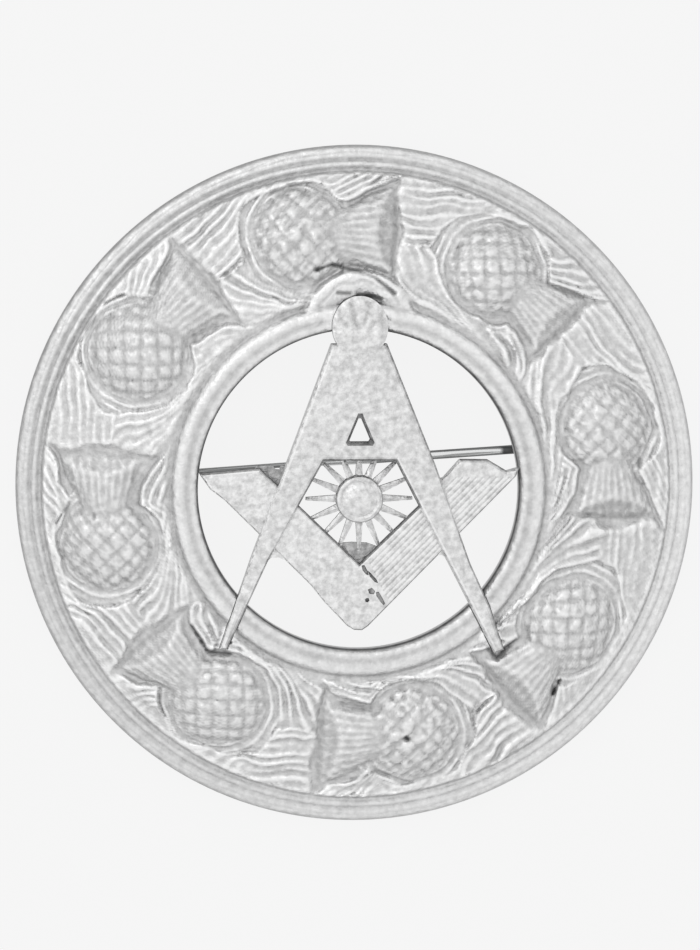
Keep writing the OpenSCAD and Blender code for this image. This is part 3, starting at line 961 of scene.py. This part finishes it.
def domed_head(back):
    """The head over the compasses' joint: a low dome whose upper half is cut into petals."""
    sides, rings = 96, 18
    section = [(HEAD_R * k / rings, 0) for k in range(rings + 1)]
    section += [(HEAD_R, back - HEAD_TOP), (0, back - HEAD_TOP)]
    head = turned("head", section, sides=sides)
    co = vectors(head.data, "co") / MM
    x, y = co[:, 0], co[:, 1]
    share = np.hypot(x, y) / HEAD_R
    fall, petal_deep, line_deep = 0.45, 0.1, 0.06
    dome = -fall * share ** 4 - petal_deep * petals(x, y)
    # The line across the head, below the petals
    dome -= line_deep * np.exp(-((y + 0.35) / 0.16) ** 2) * (share < 0.95)
    dome += 0.05 * lumps(x / 0.7 + 20, y / 0.7 + 20, 31) * (share < 0.95)
    co[:, 2] += np.where(co[:, 2] > -0.01, dome, 0)
    set_points(head.data, co * (*HEAD_STRETCH, 1) + (*HEAD_AT, HEAD_TOP))
    return head


def sun_rays(back):
    """Tapered rays with a ridge along the top, repeated round the sun's disc."""
    points = []
    for x, half, side, crest in RAY_ENDS:
        points += [(x, -half, back), (x, half, back), (x, half, side), (x, 0, crest), (x, -half, side)]
    faces = [[i, (i + 1) % 5, 5 + (i + 1) % 5, 5 + i] for i in range(5)]
    faces += [[4, 3, 2, 1, 0], [5, 6, 7, 8, 9]]
    return repeat_round(mesh_object("ray", points, faces), RAYS, (SUN_AT[0] * MM, SUN_AT[1] * MM, 0))


def groove(start, end, width, depth, top):
    """A cutter with a V section between two points, which scores a line into a flat face."""
    (ax, ay), (bx, by) = start, end
    length = math.hypot(bx - ax, by - ay)
    lift = 0.3
    half = width / 2 * (1 + lift / depth)
    nx, ny = (ay - by) / length * half, (bx - ax) / length * half
    points = []
    for x, y in (start, end):
        points += [(x, y, top - depth), (x + nx, y + ny, top + lift), (x - nx, y - ny, top + lift)]
    return mesh_object("groove", points, [[0, 1, 2], [3, 5, 4], [0, 3, 4, 1], [1, 4, 5, 2], [2, 5, 3, 0]])


def compass_legs():
    """Block and both legs of the compasses, with the chamfered three-cornered hole."""
    legs = prism("compasses", grown_compasses(0), EMBLEM_BACK, COMPASS_TOP, bevel=LEG_BEVEL)
    split_at_arms(legs.data)
    combine(legs, prism("eyelet", EYELET, EMBLEM_BACK - 0.1, COMPASS_TOP + 0.1), "DIFFERENCE")
    chamfer = prism("chamfer", EYELET, COMPASS_TOP - EYELET_CHAMFER, COMPASS_TOP + 0.02, flare=EYELET_FLARE)
    return combine(legs, chamfer, "DIFFERENCE")


def scored_square(back):
    """Both arms of the square, with the lines scored on the right one and the casting's flaws."""
    square = prism("square", SQUARE, back, SQUARE_TOP, bevel=ARM_BEVEL)
    for n, offset in enumerate(SCORES):
        start, end = 1.2 + 0.25 * n, offset + 1.4
        line = groove((start, start - offset), (end, end - offset), SCORE_W, SCORE_DEEP, SQUARE_TOP)
        combine(square, line, "DIFFERENCE")
    for outline in FLAWS:
        flaw = prism("flaw", outline, SQUARE_TOP - FLAW_DEEP, SQUARE_TOP + 0.05, flare=1.3)
        combine(square, flaw, "DIFFERENCE")
    return square


def sun_disc(back):
    """The sun's disc, a low dome inside a raised rim."""
    rise = COMPASS_TOP - back
    disc = turned("disc", [(SUN_R * r, back + rise * z) for r, z in DISC_SECTION])
    aside = Matrix.Rotation(math.radians(DISC_TURN), 4, "Z")
    return place(disc, Matrix.Translation((SUN_AT[0] * MM, SUN_AT[1] * MM, 0)) @ aside)


def cast_emblem():
    """Compasses, square, head and sun fused into one casting with three pegs."""
    backs = [EMBLEM_BACK + BACK_STEP * n for n in range(1, 5)]
    parts = [compass_legs(), scored_square(backs[0])]
    parts += [prism("web", outline, backs[1], WEB_TOP) for outline in WEBS]
    parts += [prism("fillet", outline, backs[1], SQUARE_TOP - 0.1) for outline in FILLETS]
    parts += [sun_disc(backs[2]), sun_rays(backs[3]), domed_head(backs[1])]
    parts += [prism("peg", circle(at, PEG_R, 32), PEG_LOW, EMBLEM_BACK + 0.4) for at in PEGS]
    emblem = unite("cast_emblem", parts)
    face_outwards(emblem)
    paint_emblem(emblem.data)
    return emblem


def split_at_arms(mesh):
    """Divides the legs' faces along the arms' edges, so that each stretch can have its own shade."""
    bm = bmesh.new()
    bm.from_mesh(mesh)
    for side in (-1, 1):
        for low in ARM_EDGES:
            bmesh.ops.bisect_plane(bm, geom=[*bm.verts, *bm.edges, *bm.faces],
                                   plane_co=(0, -low * MM, 0), plane_no=(side, -1, 0))
    bm.to_mesh(mesh)
    bm.free()


def paint_emblem(mesh):
    """Painted shade on the edges round the windows and on the right, dark flaws, and painted light and polish
    on the edges on the left.
    """
    aside, _, up = vectors(mesh, "face_normal").T
    x, y, z = (vectors(mesh, "face_middle") / MM).T
    from_sun = np.hypot(x - SUN_AT[0], y - SUN_AT[1])
    on_ray = (from_sun < RAY_ENDS[1][0]) & (z < 6.4) & (z > WEB_TOP + 0.01)
    sun = (from_sun < SUN_R * 1.02) | on_ray
    head = np.hypot(x - HEAD_AT[0], y - HEAD_AT[1]) < HEAD_R * 1.1
    by_eyelet = (np.abs(x) < 2.3) & (np.abs(y - 6.5) < 3.2)
    window = (np.hypot(x - WINDOW_AT[0], y - WINDOW_AT[1]) < WINDOW_R) | by_eyelet
    wall, bevel = np.abs(up) < 0.25, (up >= 0.25) & (up < 0.9)
    scored = (up >= 0.9) & (up < 0.99)
    left = (aside < -0.15) & ~window
    below = np.abs(x) - y
    crossing = (below > ARM_EDGES[0]) & (below < ARM_EDGES[1]) & (z > SQUARE_TOP)
    edge = bevel | wall
    leg_shade, arm_shade, round_shade, web_shade, petal_shade = 0.185, 0.155, 0.17, 0.5, 0.2
    tarnish_and_shading = np.where(z > SQUARE_TOP + 0.1, leg_shade, arm_shade)
    # Faces turned to the left are painted light and the others painted shade, as if lit from the left: the
    # first value is for the lit side, the others for the shaded one. The bevels round the windows get more
    # painted shade, and edges where the legs cross the arms less
    tarnish_and_shading[scored] = np.where(aside < 0, 0.03, 0.31)[scored]
    tarnish_and_shading[bevel] = np.where(left, 0.02, np.where(window, 0.6, 0.45))[bevel]
    tarnish_and_shading[wall] = np.where(left, 0.05, 0.85)[wall]
    tarnish_and_shading[crossing & edge] = np.where(left, 0.05, 0.24)[crossing & edge]
    tarnish_and_shading[(sun | head) & ~wall] = round_shade
    tarnish_and_shading[head & ~wall] += petal_shade * petals(x - HEAD_AT[0], y - HEAD_AT[1])[head & ~wall]
    # Two of the flaws are paler than the rest
    sunk = (z > SQUARE_TOP - FLAW_DEEP - 0.02) & (z < SQUARE_TOP - 0.02)
    flaw = sunk & (x > 0) & (x < 3) & (y > -12.6) & (y < -8.2)
    tarnish_and_shading[flaw] = np.where((x > 1.1) & (y < -10.5), 0.62, 0.8)[flaw]
    # The low webs are painted dark as shade
    tarnish_and_shading[(up > 0.9) & (z < WEB_TOP + 0.01)] = web_shade
    paint(mesh, "tarnish_and_shading", tarnish_and_shading, "FACE")
    paint(mesh, "polish", np.where((bevel & left) | (bevel & sun), 0.8, 0.0), "FACE")


def bent_hinge():
    """Hinge bracket: a flat base and two round-ended lugs, bent from one sheet."""
    parts = [prism("base", rectangle(*HINGE_BASE, HINGE_W), BASE_Z, BASE_Z + SHEET)]
    round_end = [(-LUG_R * math.cos(a), hinge_z() - LUG_R * math.sin(a)) for a in np.linspace(0, math.pi, 17)]
    outline = [(LUG_R, BASE_Z + 0.3), (-LUG_R, BASE_Z + 0.3)] + round_end
    for side in (-1, 1):
        lug = prism("lug", outline, -LUG_T / 2, LUG_T / 2)
        parts.append(place(lug, on_end(y=side * (HINGE_W - LUG_T) / 2)))
    bracket = unite("hinge_bracket", parts)
    hole = place(prism("hole", circle((0, 0), RIVET_HOLE, 32), -HINGE_W, HINGE_W), on_end(hinge_z()))
    combine(bracket, hole, "DIFFERENCE")
    soften(bracket, FOLD_SOFT)
    return bracket


def needle_with_eye():
    """Pin stem: a round eye, a straight shank, a long taper and a point."""
    section = [(0, NEEDLE[0][0])] + [(radius, x) for x, radius in NEEDLE] + [(0, NEEDLE[-1][0])]
    turn = Matrix.Rotation(math.radians(NEEDLE_TURN), 4, "Z")
    along = Matrix.Translation((0, 0, hinge_z() * MM)) @ turn @ Matrix.Rotation(-math.pi / 2, 4, "Y")
    shank = place(turned("shank", section, sides=24), along)
    eye = place(turned("eye", EYE_SECTION, sides=40), on_end(hinge_z()))
    needle = unite("pin_needle", [shank, eye])
    reach = -vectors(needle.data, "co")[:, 0] / MM
    # Painted shadow on two stretches, on the upper side, and painted shade along the sides near the hinge
    dark = [how * ramp(reach, low - 0.5, low) * (1 - ramp(reach, high, high + 0.5))
            for low, high, how in NEEDLE_SHADOW]
    _, across, up = vectors(needle.data, "normal").T
    edges = 0.85 * ramp(np.abs(across), 0.5, 0.8) * (reach < 22) * (up > -0.1)
    paint(needle.data, "tarnish_and_shading", np.maximum(np.max(dark, axis=0) * (up > -0.4), edges))
    return needle


def rolled_catch():
    """Catch: a short rolled tube with its mouth towards the back, on a flat base."""
    out = CATCH_IN + SHEET
    gap = math.asin(MOUTH / 2 / CATCH_IN)
    turns = np.linspace(-math.pi / 2 + gap, 1.5 * math.pi - gap, 41)
    outline = [(out * math.cos(a), hinge_z() + out * math.sin(a)) for a in turns]
    outline += [(CATCH_IN * math.cos(a), hinge_z() + CATCH_IN * math.sin(a)) for a in turns[::-1]]
    low, high = PAD_AT[1] - CATCH_L / 2, PAD_AT[1] + CATCH_L / 2
    tube = prism("tube", outline, low, high)
    # Lays the upright tube along the stem's line
    place(tube, Matrix(((0, 0, 1, 0), (1, 0, 0, 0), (0, 1, 0, 0), (0, 0, 0, 1))))
    base = prism("base", rectangle(low, high, 2 * out), BASE_Z, BASE_Z + SHEET)
    caught = unite("catch_tube", [base, tube])
    soften(caught, FOLD_SOFT)
    return caught


def metal(name, light, dark, rough, grain_mm, grain_depth_mm, mottle_mm, patchy):
    """Plated metal: its colour runs from bright to dark, and its roughness from smooth to dull, with a
    painted value that holds tarnish and painted light and shade.

    A colour mix reads its two colours from sockets 6 and 7, and gives the mixed one from socket 2."""
    made = bpy.data.materials.new(name)
    made.use_nodes = True
    tree = made.node_tree
    tree.nodes.clear()
    spot = node(tree, "ShaderNodeTexCoord").outputs["Object"]
    tarnish_and_shading = node(tree, "ShaderNodeAttribute", attribute_name="tarnish_and_shading").outputs["Fac"]
    polish = node(tree, "ShaderNodeAttribute", attribute_name="polish").outputs["Fac"]
    mottle = node(tree, "ShaderNodeTexNoise",
                  {"Vector": spot, "Scale": 1 / (mottle_mm * MM), "Detail": 3.0, "Roughness": 0.6})
    patches = node(tree, "ShaderNodeMapRange",
                   {"Value": mottle.outputs["Fac"], "From Min": 0.3, "From Max": 0.7,
                    "To Min": -patchy, "To Max": patchy})
    stain_and_shading = node(tree, "ShaderNodeMath", {0: tarnish_and_shading, 1: patches.outputs[0]},
                 operation="ADD", use_clamp=True)
    colour = node(tree, "ShaderNodeMix", {0: stain_and_shading.outputs[0], 6: linear(light), 7: linear(dark)},
                  data_type="RGBA")
    dull = node(tree, "ShaderNodeMapRange",
                {"Value": stain_and_shading.outputs[0], "To Min": rough, "To Max": rough + 0.25})
    shine = node(tree, "ShaderNodeMath", {0: polish, 1: 0.12}, operation="MULTIPLY")
    roughness = node(tree, "ShaderNodeMath", {0: dull.outputs[0], 1: shine.outputs[0]}, operation="SUBTRACT")
    grain = node(tree, "ShaderNodeTexNoise",
                 {"Vector": spot, "Scale": 1 / (grain_mm * MM), "Detail": 2.0, "Roughness": 0.5})
    bump = node(tree, "ShaderNodeBump", {"Height": grain.outputs["Fac"], "Distance": grain_depth_mm * MM})
    shader = node(tree, "ShaderNodeBsdfPrincipled",
                  {"Base Color": colour.outputs[2], "Metallic": 1.0, "Roughness": roughness.outputs[0],
                   "Normal": bump.outputs[0]})
    node(tree, "ShaderNodeOutputMaterial", {"Surface": shader.outputs[0]})
    return made


def build_brooch():
    """Makes every piece in its finish and says where it belongs."""
    # Satin silver plate: soft reflections, with pale high points and grey hollows painted as wear, patina,
    # highlight and shade
    satin = metal("satin_silver_plate", "#F4F4F4", "#3C3C3D", rough=0.42,
                  grain_mm=0.6, grain_depth_mm=0.16, mottle_mm=0.8, patchy=0.09)
    # Frosted silver plate: finely granular faces that scatter light evenly, with edges painted light on the
    # left and dark as shade on the right. The real grain is too fine to show, so it is drawn coarser.
    frosted = metal("frosted_silver_plate", "#EFEFEF", "#3C3C3D", rough=0.42,
                    grain_mm=0.45, grain_depth_mm=0.13, mottle_mm=0.7, patchy=0.2)
    # Nickel-plated steel: smooth and mirror-like, with sharp dark and light streaks
    steel = metal("bright_nickel_steel", "#E2E3E3", "#3A3B3C", rough=0.16,
                  grain_mm=0.8, grain_depth_mm=0.002, mottle_mm=3.0, patchy=0.05)
    finish(cast_ring(), "brooch", "thistle_ring", satin, 75)
    finish(cast_emblem(), "brooch", "emblem", frosted, 28)
    line = stem_line()
    finish(place(bent_hinge(), line), "brooch", "pin_hinge", steel, 35)
    rivet = place(turned("rivet", RIVET_SECTION, sides=32), on_end(hinge_z()))
    finish(place(rivet, line), "brooch", "hinge_rivet", steel, 35)
    finish(place(rolled_catch(), line), "brooch", "pin_catch", steel, 35)
    finish(place(needle_with_eye(), line), "pin", "pin_stem", steel, 35)


def look_from(position, target):
    """A turn that points an object's -Z axis at a target with +Y up in the picture."""
    back = (Vector(position) - Vector(target)).normalized()
    right = Vector((0, 1, 0)).cross(back).normalized()
    return Matrix((right, back.cross(right), back)).transposed().to_4x4()


def set_camera():
    """A long lens nearly straight above the brooch, leaning a little to its upper left."""
    lean = math.radians(LEAN)
    towards = Vector((*LEAN_TO, 0)).normalized() * math.sin(lean) + Vector((0, 0, math.cos(lean)))
    target = Vector(AIM) * MM
    data = bpy.data.cameras.new("camera")
    data.lens = LENS
    data.clip_start = 0.01
    camera = bpy.data.objects.new("camera", data)
    position = target + towards * DISTANCE * MM
    camera.matrix_world = Matrix.Translation(position) @ look_from(position, target)
    bpy.context.scene.collection.objects.link(camera)
    bpy.context.scene.camera = camera


def set_floor():
    """A plain pale floor that glows a little, so that shadows on it stay faint."""
    made = bpy.data.materials.new("pale_floor")
    made.use_nodes = True
    shader = made.node_tree.nodes["Principled BSDF"]
    shader.inputs["Base Color"].default_value = linear("#303030")
    shader.inputs["Roughness"].default_value = 1.0
    shader.inputs["Emission Color"].default_value = linear("#F6F6F6")
    shader.inputs["Emission Strength"].default_value = 0.95
    mesh = bpy.data.meshes.new("floor")
    half, low = 3.0, -0.05 * MM
    corners = [(-half, -half, low), (half, -half, low), (half, half, low), (-half, half, low)]
    mesh.from_pydata(corners, [], [[0, 1, 2, 3]])
    mesh.materials.append(made)
    floor = into_scene("floor", mesh)
    floor.visible_glossy = False


def set_light():
    """A bright overcast sky that darkens towards the horizon, and one large soft lamp at the upper left."""
    world = bpy.data.worlds.new("studio")
    bpy.context.scene.world = world
    world.use_nodes = True
    tree = world.node_tree
    tree.nodes.clear()
    direction = node(tree, "ShaderNodeTexCoord").outputs["Generated"]
    towards = Vector((-0.45, 0.5, 0.95)).normalized()
    side = node(tree, "ShaderNodeVectorMath", {0: direction, 1: towards}, operation="DOT_PRODUCT")
    glow = node(tree, "ShaderNodeMapRange",
                {"Value": side.outputs["Value"], "From Min": -0.55, "From Max": 0.8,
                 "To Min": 0.83, "To Max": 1.0}, interpolation_type="SMOOTHSTEP")
    height = node(tree, "ShaderNodeSeparateXYZ", {0: direction})
    above = node(tree, "ShaderNodeMapRange",
                 {"Value": height.outputs["Z"], "From Min": -0.5, "From Max": 0.0,
                  "To Min": 0.7, "To Max": 1.0}, interpolation_type="SMOOTHSTEP")
    strength = node(tree, "ShaderNodeMath", {0: glow.outputs[0], 1: above.outputs[0]}, operation="MULTIPLY")
    sky = node(tree, "ShaderNodeBackground", {"Color": linear("#FFFFFF"), "Strength": strength.outputs[0]})
    node(tree, "ShaderNodeOutputWorld", {"Surface": sky.outputs[0]})
    lamp = bpy.data.lights.new("soft_lamp", "AREA")
    lamp.energy = 0.6
    lamp.size = 0.5
    holder = bpy.data.objects.new("soft_lamp", lamp)
    # In metres
    position = Vector((-0.45, 0.5, 0.75))
    holder.matrix_world = Matrix.Translation(position) @ look_from(position, (0, 0, 0))
    bpy.context.scene.collection.objects.link(holder)


bpy.context.scene.view_settings.view_transform = "Standard"
set_camera()
set_floor()
set_light()
build_brooch()
